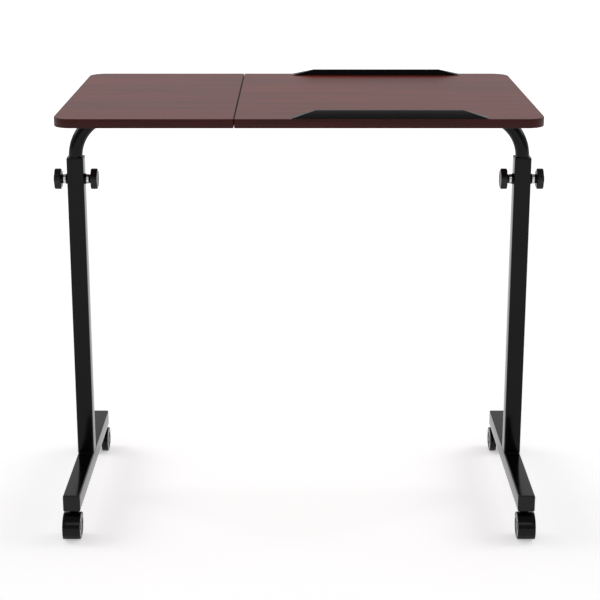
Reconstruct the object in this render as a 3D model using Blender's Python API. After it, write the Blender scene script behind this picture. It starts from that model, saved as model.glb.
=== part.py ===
"""Overbed table with a split, tilting top on a telescoping two-leg frame with casters.

Metres, +Z up. The origin is on the floor under the middle of the table. +X runs to the right along
the tabletop, -Y is the front. "Outward" along X means away from the post that a piece belongs to.
"""

import math

import bmesh
import bpy

GAP = 0.0003  # running and seating clearance between neighbouring pieces

# Tabletop
TOP_LENGTH = 0.800
TOP_DEPTH = 0.500
TOP_THICKNESS = 0.015
TOP_HEIGHT = 0.760
FIXED_LENGTH = 0.294
SEAM_GAP = 0.001
CORNER_RADIUS = 0.030
SEAM_CORNER_RADIUS = 0.002
EDGE_CHAMFER = 0.0015

# Ledges that keep a book on the tilted board
LEDGE_LENGTH = 0.320
LEDGE_END_SLOPE = 0.040
LEDGE_WIDTH = 0.022
LEDGE_CREST = 0.003
LEDGE_HEIGHT = 0.0108
LEDGE_INSET = 0.002

# Inverted U of round tube
LEG_SPACING = 0.800
TUBE_RADIUS = 0.0125
TUBE_WALL = 0.0015
BEND_RADIUS = 0.077
TUBE_UNDER_TOP = 0.008  # between the cross tube and the boards
TUBE_INSERTION = 0.4275

# Posts, feet and their plastic fittings
SLEEVE_ROOM = 0.001  # between the round tube and the inside of the post
SECTION_WALL = 0.0015
SECTION_CORNER = 0.0025
FOOT_LENGTH = 0.415
CAP_PLATE = 0.0027
CAP_PLUG = 0.002
BUSH_FLANGE = 0.0018
BUSH_DEPTH = 0.024

# Star knobs, each on a screw that clamps the round tube
KNOB_DROP = 0.0405
SCREW_RADIUS = 0.004
SCREW_TIP_CHAMFER = 0.0008
BOSS_RADIUS = 0.0095
BOSS_HEIGHT = 0.003
COLLAR_RADIUS = 0.009
COLLAR_LENGTH = 0.0045
HUB_RADIUS = 0.0088
HUB_LENGTH = 0.0034
GRIP_LENGTH = 0.012
GRIP_CHAMFER = 0.0015
SCREW_IN_GRIP = 0.007
LOBES = 5
LOBE_RADIUS = 0.0095
LOBE_CENTRE = 0.0095
LOBE_LIFT = math.radians(12)  # how far the front lobe points above the level

# Casters
WHEEL_RADIUS = 0.023
WHEEL_WIDTH = 0.0127
WHEEL_SHOULDER = 0.0015
WHEEL_DISH = 0.001
DISH_RADIUS = 0.015
WEB_THICKNESS = 0.0044
WEB_CLEARANCE = 0.0006
CASTER_HEADROOM = 0.007  # between the wheel's top and the foot
TRAIL = 0.0195  # from the stem out to the axle, towards the foot's end
STEM_INSET = 0.0265  # from the foot's end in to the stem
STEM_RADIUS = 0.004
STEM_SHOULDER = 0.001
STEM_HEAD = 0.002
STEM_LENGTH = 0.034
STEM_TOP_ROOM = 0.0065  # free height above the stem inside the foot
AXLE_RADIUS = 0.002
WHEEL_FACE_WALL = 0.0015
HOOD_WALL = 0.0016
HOOD_CLEARANCE = 0.0007
HOOD_HUB_RADIUS = 0.006
HOOD_OUTER_ANGLE = math.radians(-40)  # how far down the hood reaches on the side away from the stem
HOOD_INNER_ANGLE = math.radians(160)
BARREL_WALL = 0.0032
BARREL_LENGTH = 0.018

# Clamps between the boards and the cross tube
SADDLE_WIDTH = 0.020
SADDLE_WALL = 0.002
SADDLE_FLANGE = 0.014
SADDLE_INSET = 0.060
CLAMP_WIDTH = 0.024
CLAMP_WALL = 0.0025
CLAMP_FLANGE_REACH = 0.030
CLAMP_INSET = 0.070
CLAMP_SLIT = 0.003
EAR_THICKNESS = 0.0035
EAR_DROP = 0.008
PINCH_RADIUS = 0.002
PINCH_HEAD_RADIUS = 0.0035
PINCH_HEAD = 0.003

# Facets round each kind of round piece
TUBE_SIDES = 16
BEND_STEPS = 8
CORNER_STEPS = 6
WHEEL_SIDES = 24
SMALL_SIDES = 16
PIN_SIDES = 12
BORE_SIDES = 32
STRAP_STEPS = 12
HOOD_STEPS = 14
HOOD_HUB_STEPS = 6
SECTION_CORNER_STEPS = 2
STEPS_PER_LOBE = 6

# Sizes and places worked out from the sizes above
SECTION = 2 * (TUBE_RADIUS + SLEEVE_ROOM + SECTION_WALL)
FOOT_CLEARANCE = 2 * WHEEL_RADIUS + CASTER_HEADROOM
TOP_UNDERSIDE = TOP_HEIGHT - TOP_THICKNESS
CROSS_Z = TOP_UNDERSIDE - TUBE_UNDER_TOP - TUBE_RADIUS
POST_FITTED_TOP = CROSS_Z - BEND_RADIUS
FOOT_TOP = FOOT_CLEARANCE + SECTION
POST_TOP = POST_FITTED_TOP - BUSH_FLANGE - GAP
POST_BOTTOM = FOOT_TOP + GAP
KNOB_Z = POST_FITTED_TOP - KNOB_DROP
SEAM_X = -TOP_LENGTH / 2 + FIXED_LENGTH + SEAM_GAP / 2
TILT_LEFT_X = SEAM_X + SEAM_GAP / 2
TILT_CENTRE_X = (TILT_LEFT_X + TOP_LENGTH / 2) / 2
STEM_HEAD_RADIUS = STEM_RADIUS + STEM_SHOULDER
STEM_Y = FOOT_LENGTH / 2 - STEM_INSET
BARREL_RADIUS = STEM_RADIUS + GAP + BARREL_WALL
COLLAR_START = BOSS_HEIGHT + GAP
HUB_START = COLLAR_START + COLLAR_LENGTH + GAP
GRIP_START = HUB_START + HUB_LENGTH
AXLE_Z = WHEEL_RADIUS
WHEEL_INNER_X = WEB_THICKNESS / 2 + WEB_CLEARANCE
HOOD_INNER_RADIUS = WHEEL_RADIUS + HOOD_CLEARANCE
HOOD_OUTER_RADIUS = HOOD_INNER_RADIUS + HOOD_WALL
HOOD_HALF_WIDTH = WHEEL_INNER_X + WHEEL_WIDTH
HOOD_TOP = FOOT_CLEARANCE - 2 * GAP


def clear_scene():
    for obj in list(bpy.data.objects):
        bpy.data.objects.remove(obj, do_unlink=True)


def make_material(name, colour, roughness, metallic):
    material = bpy.data.materials.new(name)
    material.use_nodes = True
    shader = material.node_tree.nodes["Principled BSDF"]
    shader.inputs["Base Color"].default_value = (*colour, 1.0)
    shader.inputs["Roughness"].default_value = roughness
    shader.inputs["Metallic"].default_value = metallic
    material.diffuse_color = (*colour, 1.0)
    return material


def pivot(name, place, parent=None):
    """An empty on a joint's axis, which the pieces of one moving body hang from."""
    empty = bpy.data.objects.new(name, None)
    empty.empty_display_size = 0.02
    bpy.context.scene.collection.objects.link(empty)
    put(empty, place, parent)
    return empty


def put(obj, place, parent):
    """Puts an object at a place in the world, whatever its parent's own place is."""
    offset = parent["place"] if parent else (0, 0, 0)
    obj.parent = parent
    obj.location = [place[i] - offset[i] for i in range(3)]
    obj["place"] = place


def add(name, mesh, material, place, parent):
    obj = bpy.data.objects.new(name, mesh)
    obj.data.materials.append(material)
    bpy.context.scene.collection.objects.link(obj)
    put(obj, place, parent)
    return obj


def cutter(name, mesh, place):
    """A helper for a Boolean, which isn't part of the table."""
    obj = bpy.data.objects.new(name, mesh)
    bpy.context.scene.collection.objects.link(obj)
    put(obj, place, None)
    obj.hide_render = True
    obj.display_type = "WIRE"
    return obj


def combine(obj, other, operation):
    modifier = obj.modifiers.new(other.name, "BOOLEAN")
    modifier.operation = operation
    modifier.object = other


def loft(name, rings, hollow=False, sharp_degrees=35):
    """Joins rings of equally many points.

    A hollow body's last ring joins its first. Any other body has a face at each end.
    """
    bm = bmesh.new()
    loops = [[bm.verts.new(point) for point in ring] for ring in rings]
    pairs = list(zip(loops, loops[1:]))
    if hollow:
        pairs.append((loops[-1], loops[0]))
    else:
        bm.faces.new(loops[0])
        bm.faces.new(loops[-1])
    for low, high in pairs:
        for i, point in enumerate(low):
            after = (i + 1) % len(low)
            bm.faces.new((point, low[after], high[after], high[i]))
    bmesh.ops.recalc_face_normals(bm, faces=bm.faces)
    mesh = bpy.data.meshes.new(name)
    bm.to_mesh(mesh)
    bm.free()
    mesh.shade_smooth()
    mesh.set_sharp_from_angle(angle=math.radians(sharp_degrees))
    return mesh


def circle(radius, sides):
    turns = [2 * math.pi * i / sides for i in range(sides)]
    return [(radius * math.cos(a), radius * math.sin(a)) for a in turns]


def rounded_rectangle(low, high, radii, steps, inset=0.0):
    """Points round a rectangle, anticlockwise from its low corner. radii are the four corners'."""
    (x0, y0), (x1, y1) = low, high
    corners = [(x0, y0, 1, 1, 180), (x1, y0, -1, 1, 270), (x1, y1, -1, -1, 0), (x0, y1, 1, -1, 90)]
    points = []
    for (x, y, to_x, to_y, start), radius in zip(corners, radii):
        for i in range(steps + 1):
            angle = math.radians(start + 90 * i / steps)
            reach = radius - inset
            across, along = reach * math.cos(angle), reach * math.sin(angle)
            points.append((x + to_x * radius + across, y + to_y * radius + along))
    return points


def square(half_width, corner):
    low, high = (-half_width, -half_width), (half_width, half_width)
    return rounded_rectangle(low, high, [corner] * 4, SECTION_CORNER_STEPS)


def along_z(outline, z):
    return [(x, y, z) for x, y in outline]


def along_y(outline, y):
    return [(x, y, z) for x, z in outline]


def along_x(outline, x):
    return [(x, y, z) for y, z in outline]


def turned_x(name, profile, sides, facing=1, **more):
    """A turned piece on the X axis. profile is a list of (distance along the axis, radius)."""
    return loft(name, [along_x(circle(r, sides), facing * t) for t, r in profile], **more)


def turned_z(name, profile, sides, **more):
    return loft(name, [along_z(circle(r, sides), t) for t, r in profile], **more)


def cylinder(name, axis, start, end, radius, sides=SMALL_SIDES):
    place = {"x": along_x, "y": along_y, "z": along_z}[axis]
    return loft(name, [place(circle(radius, sides), start), place(circle(radius, sides), end)])


def block(name, low, high):
    outline = [(low[0], low[1]), (high[0], low[1]), (high[0], high[1]), (low[0], high[1])]
    return loft(name, [along_z(outline, low[2]), along_z(outline, high[2])])


def board(name, material, x_range, radii, parent):
    """A panel with a small chamfer round both faces."""
    low, high = (x_range[0], -TOP_DEPTH / 2), (x_range[1], TOP_DEPTH / 2)
    centre = sum(x_range) / 2
    low, high = (low[0] - centre, low[1]), (high[0] - centre, high[1])
    levels = [
        (TOP_UNDERSIDE, EDGE_CHAMFER),
        (TOP_UNDERSIDE + EDGE_CHAMFER, 0.0),
        (TOP_HEIGHT - EDGE_CHAMFER, 0.0),
        (TOP_HEIGHT, EDGE_CHAMFER),
    ]
    rings = [
        along_z(rounded_rectangle(low, high, radii, CORNER_STEPS, inset), z - CROSS_Z)
        for z, inset in levels
    ]
    return add(name, loft(name, rings), material, (centre, 0, CROSS_Z), parent)


def ledge(name, material, side, parent):
    """A wedge along one edge of the tilting board.

    It is upright towards the board's middle, and slopes outward and at its ends.
    """
    outer = TOP_DEPTH / 2 - LEDGE_INSET
    inner = outer - LEDGE_WIDTH
    half, crest_half = LEDGE_LENGTH / 2, LEDGE_LENGTH / 2 - LEDGE_END_SLOPE
    bottom = TOP_HEIGHT + GAP - CROSS_Z
    outlines = [(half, outer, bottom), (crest_half, inner + LEDGE_CREST, bottom + LEDGE_HEIGHT)]
    rings = [
        [(-x, side * inner, z), (x, side * inner, z), (x, side * y, z), (-x, side * y, z)]
        for x, y, z in outlines
    ]
    add(name, loft(name, rings), material, (TILT_CENTRE_X, 0, CROSS_Z), parent)


def u_tube(material, parent):
    """One bent tube: up the left leg, across and down the right leg, with open ends."""
    half = LEG_SPACING / 2
    bends = [math.pi / 2 * i / BEND_STEPS for i in range(BEND_STEPS + 1)]
    path = [(-half, -BEND_RADIUS - TUBE_INSERTION, 0.0)]
    path += [
        (-half + BEND_RADIUS * (1 - math.cos(a)), BEND_RADIUS * (math.sin(a) - 1), a) for a in bends
    ]
    path += [(-x, z, math.pi - a) for x, z, a in reversed(path)]
    rings = []
    for radius, stations in ((TUBE_RADIUS, path), (TUBE_RADIUS - TUBE_WALL, reversed(path))):
        section = circle(radius, TUBE_SIDES)
        for x, z, lean in stations:
            # the ring lies across the path, which has turned by "lean" from upright
            rings.append([(x + u * math.cos(lean), v, z - u * math.sin(lean)) for u, v in section])
    add("u_tube", loft("u_tube", rings, hollow=True), material, (0, 0, CROSS_Z), parent)


def saddle_clamp(name, material, x, parent):
    """A steel strap under the cross tube, with a flange each side that is screwed to the fixed board."""
    inner = TUBE_RADIUS + GAP
    outer = inner + SADDLE_WALL
    flange_top = TOP_UNDERSIDE - GAP - CROSS_Z
    flange_bottom = flange_top - SADDLE_WALL
    reach = outer + SADDLE_FLANGE
    under = [math.pi * (1 + i / STRAP_STEPS) for i in range(STRAP_STEPS + 1)]
    outside = [(outer * math.cos(a), outer * math.sin(a)) for a in under]
    inside = [(inner * math.cos(a), inner * math.sin(a)) for a in reversed(under)]
    flange = [(inner, flange_top), (reach, flange_top), (reach, flange_bottom), (outer, flange_bottom)]
    outline = [(-y, z) for y, z in flange]
    outline += outside
    outline += reversed(flange)
    outline += inside
    half = SADDLE_WIDTH / 2
    mesh = loft(name, [along_x(outline, -half), along_x(outline, half)])
    add(name, mesh, material, (x, 0, CROSS_Z), parent)


def tilt_clamp(suffix, material, screw_material, x, parent):
    """A split collar round the cross tube, screwed to the tilting board and pinched by a screw below."""
    name = "tilt_clamp_" + suffix
    collar = TUBE_RADIUS + GAP + CLAMP_WALL
    half = CLAMP_WIDTH / 2
    plate_top = TOP_UNDERSIDE - GAP - CROSS_Z
    ear_outer = CLAMP_SLIT / 2 + EAR_THICKNESS
    ear_bottom = -collar - EAR_DROP
    screw_z = -collar - EAR_DROP / 2
    place = (x, 0, CROSS_Z)

    body = add(name, cylinder(name, "x", -half, half, collar, BORE_SIDES), material, place, parent)
    reach = CLAMP_FLANGE_REACH
    plate = block("plate", (-half, -reach, plate_top - CLAMP_WALL), (half, reach, plate_top))
    neck = block("neck", (-half, -collar / 2, 0), (half, collar / 2, plate_top - CLAMP_WALL / 2))
    ears = block("ears", (-half, -ear_outer, ear_bottom), (half, ear_outer, 0))
    for extra in (plate, neck, ears):
        combine(body, cutter(f"{name}_{extra.name}", extra, place), "UNION")
    bore = cylinder("bore", "x", -CLAMP_WIDTH, CLAMP_WIDTH, TUBE_RADIUS + GAP, BORE_SIDES)
    slit_side = CLAMP_SLIT / 2
    slit = block("slit", (-CLAMP_WIDTH, -slit_side, 2 * ear_bottom), (CLAMP_WIDTH, slit_side, 0))
    hole = cylinder("hole", "y", -collar, collar, PINCH_RADIUS + GAP)
    combine(body, cutter(name + "_bore", bore, place), "DIFFERENCE")
    combine(body, cutter(name + "_slit", slit, place), "DIFFERENCE")
    hole_place = (x, 0, CROSS_Z + screw_z)
    combine(body, cutter(name + "_hole", hole, hole_place), "DIFFERENCE")

    shank = ear_outer + GAP
    profile = [
        (-shank - PINCH_HEAD, PINCH_HEAD_RADIUS),
        (-shank, PINCH_HEAD_RADIUS),
        (-shank, PINCH_RADIUS),
        (shank, PINCH_RADIUS),
        (shank, PINCH_HEAD_RADIUS),
        (shank + PINCH_HEAD, PINCH_HEAD_RADIUS),
    ]
    name = "tilt_clamp_screw_" + suffix
    rings = [along_y(circle(r, PIN_SIDES), t) for t, r in profile]
    add(name, loft(name, rings), screw_material, hole_place, parent)


def post(name, material, x, parent):
    outer = square(SECTION / 2, SECTION_CORNER)
    inner = square(SECTION / 2 - SECTION_WALL, SECTION_CORNER - SECTION_WALL)
    levels = [(outer, POST_BOTTOM), (outer, POST_TOP), (inner, POST_TOP), (inner, POST_BOTTOM)]
    rings = [along_z(outline, z - KNOB_Z) for outline, z in levels]
    obj = add(name, loft(name, rings, hollow=True), material, (x, 0, KNOB_Z), parent)
    hole = cylinder("hole", "x", -SECTION, SECTION, SCREW_RADIUS + GAP)
    combine(obj, cutter(name + "_screw_hole", hole, (x, 0, KNOB_Z)), "DIFFERENCE")


def bush(name, material, x, parent):
    """A plastic sleeve in the post's mouth, with a square flange on top, that guides the round tube."""
    plug = square(SECTION / 2 - SECTION_WALL - GAP, SECTION_CORNER - SECTION_WALL)
    flange = square(SECTION / 2, SECTION_CORNER)
    rings = [
        along_z(plug, -BUSH_FLANGE - BUSH_DEPTH),
        along_z(plug, -BUSH_FLANGE),
        along_z(flange, -BUSH_FLANGE),
        along_z(flange, 0),
    ]
    place = (x, 0, POST_FITTED_TOP)
    obj = add(name, loft(name, rings), material, place, parent)
    bore = cylinder("bore", "z", -2 * BUSH_DEPTH, BUSH_DEPTH, TUBE_RADIUS + GAP / 2, BORE_SIDES)
    combine(obj, cutter(name + "_bore", bore, place), "DIFFERENCE")


def foot(name, material, x, parent):
    """A square tube from front to back, with a stem hole in its underside at each end."""
    outer = square(SECTION / 2, SECTION_CORNER)
    inner = square(SECTION / 2 - SECTION_WALL, SECTION_CORNER - SECTION_WALL)
    half = FOOT_LENGTH / 2 - CAP_PLATE - GAP
    levels = [(outer, -half), (outer, half), (inner, half), (inner, -half)]
    rings = [along_y(outline, y) for outline, y in levels]
    middle = FOOT_CLEARANCE + SECTION / 2
    obj = add(name, loft(name, rings, hollow=True), material, (x, 0, middle), parent)
    for end, side in (("front", -1), ("rear", 1)):
        hole = cylinder("hole", "z", -SECTION_WALL, SECTION_WALL * 2, STEM_RADIUS + GAP)
        place = (x, side * STEM_Y, FOOT_CLEARANCE)
        combine(obj, cutter(f"{name}_{end}_hole", hole, place), "DIFFERENCE")


def end_cap(name, material, x, side, parent):
    plate = square(SECTION / 2, SECTION_CORNER)
    plug = square(SECTION / 2 - SECTION_WALL - GAP, SECTION_CORNER - SECTION_WALL)
    levels = [(plate, 0), (plate, CAP_PLATE), (plug, CAP_PLATE), (plug, CAP_PLATE + CAP_PLUG)]
    rings = [along_y(outline, -side * depth) for outline, depth in levels]
    place = (x, side * FOOT_LENGTH / 2, FOOT_CLEARANCE + SECTION / 2)
    add(name, loft(name, rings), material, place, parent)


def lobe_outline(scale=1.0):
    """A star of round lobes: each lobe is part of a circle whose centre is off the axis."""
    points = []
    count = LOBES * STEPS_PER_LOBE
    for i in range(count):
        offset = (i / STEPS_PER_LOBE) % 1 - 0.5
        swing = offset * 2 * math.pi / LOBES
        reach = LOBE_CENTRE * math.cos(swing)
        reach += math.sqrt(LOBE_RADIUS**2 - (LOBE_CENTRE * math.sin(swing)) ** 2)
        angle = math.pi - LOBE_LIFT + (i / STEPS_PER_LOBE - 0.5) * 2 * math.pi / LOBES
        points.append((scale * reach * math.cos(angle), scale * reach * math.sin(angle)))
    return points


def matching_circle(radius):
    """A circle with its points at the same angles as the star's."""
    turns = [math.atan2(z, y) for y, z in lobe_outline()]
    return [(radius * math.cos(a), radius * math.sin(a)) for a in turns]


def star_knob(name, leg, x_face, facing, plated, plastic, steel):
    """The weld boss on the post, the screw with its collar, and the grip, all on one axis."""
    place = (x_face, 0, KNOB_Z)
    boss = [
        (GAP, SCREW_RADIUS + GAP),
        (GAP, BOSS_RADIUS),
        (BOSS_HEIGHT, BOSS_RADIUS),
        (BOSS_HEIGHT, SCREW_RADIUS + GAP),
    ]
    boss_name = name + "_boss"
    mesh = turned_x(boss_name, boss, SMALL_SIDES, facing, hollow=True)
    add(boss_name, mesh, steel, place, leg)

    tip = -(SECTION / 2 - TUBE_RADIUS) + GAP
    shank_end = GRIP_START + SCREW_IN_GRIP
    screw = [
        (tip, SCREW_RADIUS - SCREW_TIP_CHAMFER),
        (tip + SCREW_TIP_CHAMFER, SCREW_RADIUS),
        (COLLAR_START, SCREW_RADIUS),
        (COLLAR_START, COLLAR_RADIUS),
        (COLLAR_START + COLLAR_LENGTH, COLLAR_RADIUS),
        (COLLAR_START + COLLAR_LENGTH, SCREW_RADIUS),
        (shank_end, SCREW_RADIUS),
    ]
    travel = pivot(name + "_screw_travel", place, leg)
    screw_name = name + "_screw"
    add(screw_name, turned_x(screw_name, screw, SMALL_SIDES, facing), plated, place, travel)

    grip_end = GRIP_START + GRIP_LENGTH
    bore = SCREW_RADIUS + GAP
    inset = 1 - GRIP_CHAMFER / (LOBE_CENTRE + LOBE_RADIUS)
    levels = [
        (shank_end + GAP, matching_circle(bore)),
        (HUB_START, matching_circle(bore)),
        (HUB_START, matching_circle(HUB_RADIUS - GRIP_CHAMFER)),
        (GRIP_START, matching_circle(HUB_RADIUS)),
        (GRIP_START, lobe_outline(inset)),
        (GRIP_START + GRIP_CHAMFER, lobe_outline()),
        (grip_end - GRIP_CHAMFER, lobe_outline()),
        (grip_end, lobe_outline(inset)),
    ]
    rings = [along_x(outline, facing * t) for t, outline in levels]
    turn = pivot(name + "_turn", place, travel)
    grip_name = name + "_grip"
    add(grip_name, loft(grip_name, rings, sharp_degrees=40), plastic, place, turn)


def hood(name, material, place, side, parent):
    """Fender over both wheels, web between them and barrel round the stem, in one moulding.

    place is the axle's middle. The stem is nearer to the foot's middle by the trail.
    """
    sweep = HOOD_INNER_ANGLE - HOOD_OUTER_ANGLE
    rim = [HOOD_OUTER_ANGLE + sweep * i / HOOD_STEPS for i in range(HOOD_STEPS + 1)]
    rest = 2 * math.pi - sweep
    under = [HOOD_INNER_ANGLE + rest * i / HOOD_HUB_STEPS for i in range(HOOD_HUB_STEPS + 1)]
    rounds = ((HOOD_OUTER_RADIUS, rim), (HOOD_HUB_RADIUS, under))
    outline = [(side * r * math.cos(a), r * math.sin(a)) for r, angles in rounds for a in angles]
    rings = [along_x(outline, -HOOD_HALF_WIDTH), along_x(outline, HOOD_HALF_WIDTH)]
    obj = add(name, loft(name, rings), material, place, parent)

    stem_place = (place[0], place[1] - side * TRAIL, HOOD_TOP)
    barrel = cylinder("barrel", "z", -BARREL_LENGTH, 0, BARREL_RADIUS)
    combine(obj, cutter(name + "_barrel", barrel, stem_place), "UNION")
    for hand, facing in (("left", -1), ("right", 1)):
        inner, outer = facing * WEB_THICKNESS / 2, facing * 2 * HOOD_HALF_WIDTH
        space = cylinder("space", "x", inner, outer, HOOD_INNER_RADIUS, WHEEL_SIDES)
        combine(obj, cutter(f"{name}_{hand}_wheel_space", space, place), "DIFFERENCE")
    axle_hole = cylinder("hole", "x", -WHEEL_WIDTH, WHEEL_WIDTH, AXLE_RADIUS + GAP, PIN_SIDES)
    combine(obj, cutter(name + "_axle_hole", axle_hole, place), "DIFFERENCE")
    socket_depth = STEM_LENGTH - (FOOT_TOP - SECTION_WALL - STEM_TOP_ROOM - HOOD_TOP)
    socket = cylinder("socket", "z", -socket_depth - GAP, STEM_LENGTH, STEM_RADIUS + GAP)
    combine(obj, cutter(name + "_socket", socket, stem_place), "DIFFERENCE")


def caster(name, leg, x, side, plastic, wheel_plastic, plated):
    """Stem in the foot, hood that swivels on it, axle and two wheels."""
    swivel_place = (x, side * STEM_Y, FOOT_CLEARANCE)
    stem_top = FOOT_TOP - SECTION_WALL - STEM_TOP_ROOM - FOOT_CLEARANCE
    head_bottom = SECTION_WALL + GAP
    stem = [
        (stem_top - STEM_LENGTH, STEM_RADIUS),
        (head_bottom, STEM_RADIUS),
        (head_bottom, STEM_HEAD_RADIUS),
        (head_bottom + STEM_HEAD, STEM_HEAD_RADIUS),
        (head_bottom + STEM_HEAD, STEM_RADIUS),
        (stem_top, STEM_RADIUS),
    ]
    stem_name = name + "_stem"
    add(stem_name, turned_z(stem_name, stem, SMALL_SIDES), plated, swivel_place, leg)

    swivel = pivot(name + "_swivel", swivel_place, leg)
    axle_place = (x, side * (STEM_Y + TRAIL), AXLE_Z)
    hood(name + "_hood", plastic, axle_place, side, swivel)
    bore_end = WHEEL_WIDTH - WHEEL_FACE_WALL
    axle_half = WHEEL_INNER_X + bore_end - GAP
    axle = cylinder(name + "_axle", "x", -axle_half, axle_half, AXLE_RADIUS, PIN_SIDES)
    add(name + "_axle", axle, plated, axle_place, swivel)

    flat = WHEEL_RADIUS - WHEEL_SHOULDER
    wheel = [
        (bore_end, AXLE_RADIUS + GAP),
        (0, AXLE_RADIUS + GAP),
        (0, flat),
        (WHEEL_SHOULDER, WHEEL_RADIUS),
        (WHEEL_WIDTH - WHEEL_SHOULDER, WHEEL_RADIUS),
        (WHEEL_WIDTH, flat),
        (WHEEL_WIDTH, DISH_RADIUS),
        (WHEEL_WIDTH - WHEEL_DISH, DISH_RADIUS - WHEEL_DISH),
    ]
    for hand, facing in (("left", -1), ("right", 1)):
        wheel_name = f"{name}_wheel_{hand}"
        mesh = turned_x(wheel_name, wheel, WHEEL_SIDES, facing)
        wheel_place = (x + facing * WHEEL_INNER_X, axle_place[1], AXLE_Z)
        add(wheel_name, mesh, wheel_plastic, wheel_place, swivel)


def leg_assembly(hand, side, parent, steel, plastic, wheel_plastic, plated):
    x = side * LEG_SPACING / 2
    post(hand + "_post", steel, x, parent)
    bush(hand + "_bush", plastic, x, parent)
    foot(hand + "_foot", steel, x, parent)
    end_cap(hand + "_foot_cap_front", plastic, x, -1, parent)
    end_cap(hand + "_foot_cap_rear", plastic, x, 1, parent)
    for where, facing in (("outer", side), ("inner", -side)):
        x_face = x + facing * SECTION / 2
        star_knob(f"{hand}_{where}_knob", parent, x_face, facing, plated, plastic, steel)
    for where, end in (("front", -1), ("rear", 1)):
        caster(f"{hand}_{where}_caster", parent, x, end, plastic, wheel_plastic, plated)


def main():
    clear_scene()
    laminate = make_material("mahogany_laminate", (0.075, 0.016, 0.014), 0.35, 0.0)
    steel = make_material("black_powder_coated_steel", (0.012, 0.012, 0.013), 0.35, 0.0)
    plastic = make_material("black_plastic", (0.010, 0.010, 0.011), 0.40, 0.0)
    wheel_plastic = make_material("black_wheel_plastic", (0.014, 0.014, 0.015), 0.30, 0.0)
    plated = make_material("zinc_plated_steel", (0.60, 0.60, 0.60), 0.25, 1.0)

    left_leg = pivot("left_leg", (-LEG_SPACING / 2, 0, 0))
    upper_frame = pivot("upper_frame", (0, 0, CROSS_Z), left_leg)
    right_leg = pivot("right_leg", (LEG_SPACING / 2, 0, 0), upper_frame)
    tilt_top = pivot("tilt_top", (TILT_CENTRE_X, 0, CROSS_Z), upper_frame)

    leg_assembly("left", -1, left_leg, steel, plastic, wheel_plastic, plated)
    leg_assembly("right", 1, right_leg, steel, plastic, wheel_plastic, plated)

    u_tube(steel, upper_frame)
    outer_corner, seam_corner = CORNER_RADIUS, SEAM_CORNER_RADIUS
    fixed_range = (-TOP_LENGTH / 2, SEAM_X - SEAM_GAP / 2)
    fixed_radii = [outer_corner, seam_corner, seam_corner, outer_corner]
    board("fixed_board", laminate, fixed_range, fixed_radii, upper_frame)
    bend_end = -LEG_SPACING / 2 + BEND_RADIUS
    saddle_clamp("saddle_clamp_outer", steel, bend_end + SADDLE_WIDTH, upper_frame)
    saddle_clamp("saddle_clamp_inner", steel, fixed_range[1] - SADDLE_INSET, upper_frame)

    tilt_range = (TILT_LEFT_X, TOP_LENGTH / 2)
    tilt_radii = [seam_corner, outer_corner, outer_corner, seam_corner]
    board("tilting_board", laminate, tilt_range, tilt_radii, tilt_top)
    ledge("front_ledge", plastic, -1, tilt_top)
    ledge("rear_ledge", plastic, 1, tilt_top)
    tilt_clamp("left", plastic, plated, tilt_range[0] + CLAMP_INSET, tilt_top)
    tilt_clamp("right", plastic, plated, -bend_end - CLAMP_WIDTH, tilt_top)


main()
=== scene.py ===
"""Looks of the overbed table: finished surfaces, materials, floor, light and camera.

Every shape is worked out as whole numpy arrays, in metres, in the frame's own place. "Rings" are
the closed curves that a surface is skinned from: an array of shape (rings, points round each, 3).
The profile of a turned piece is a table of (distance along its axis, radius), in millimetres.
"""

import math

import bpy
import numpy as np
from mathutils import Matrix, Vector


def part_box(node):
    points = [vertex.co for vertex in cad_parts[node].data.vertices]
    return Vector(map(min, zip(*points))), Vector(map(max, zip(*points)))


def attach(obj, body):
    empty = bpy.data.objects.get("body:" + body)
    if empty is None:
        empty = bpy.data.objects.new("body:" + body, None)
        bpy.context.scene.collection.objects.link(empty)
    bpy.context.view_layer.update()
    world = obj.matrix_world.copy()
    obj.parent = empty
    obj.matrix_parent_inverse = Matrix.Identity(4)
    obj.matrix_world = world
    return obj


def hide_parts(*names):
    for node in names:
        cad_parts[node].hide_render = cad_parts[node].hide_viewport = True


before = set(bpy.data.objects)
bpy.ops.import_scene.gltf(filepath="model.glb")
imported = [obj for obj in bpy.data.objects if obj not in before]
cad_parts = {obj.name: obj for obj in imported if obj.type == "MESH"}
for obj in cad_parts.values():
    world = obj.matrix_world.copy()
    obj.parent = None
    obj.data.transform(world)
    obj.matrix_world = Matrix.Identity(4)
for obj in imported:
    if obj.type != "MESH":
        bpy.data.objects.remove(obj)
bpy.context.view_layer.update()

MM = 0.001
HANDS = (("left", -1), ("right", 1))
ENDS = (("front", -1), ("rear", 1))


# ---------------------------------------------------------------- meshes

def make_piece(name, points, faces, material, body, replaced=(), sharp=35, slot=None):
    """Puts points and faces into a mesh that rides on a body.

    All the faces are turned round if they point inwards, which a negative volume shows.
    """
    mesh = bpy.data.meshes.new(name)
    mesh.from_pydata(points.tolist(), [], faces)
    triangles = np.array([(f[0], f[i], f[i + 1]) for f in faces for i in range(1, len(f) - 1)])
    a, b, c = (points[triangles[:, i]] for i in range(3))
    if np.einsum("ij,ij->i", a, np.cross(b, c)).sum() < 0:
        mesh.flip_normals()
    mesh.shade_smooth()
    mesh.set_sharp_from_angle(angle=math.radians(sharp))
    mesh.materials.append(material)
    piece = bpy.data.objects.new(name, mesh)
    bpy.context.scene.collection.objects.link(piece)
    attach(piece, body)
    if replaced:
        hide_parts(*replaced)
    return piece


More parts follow.
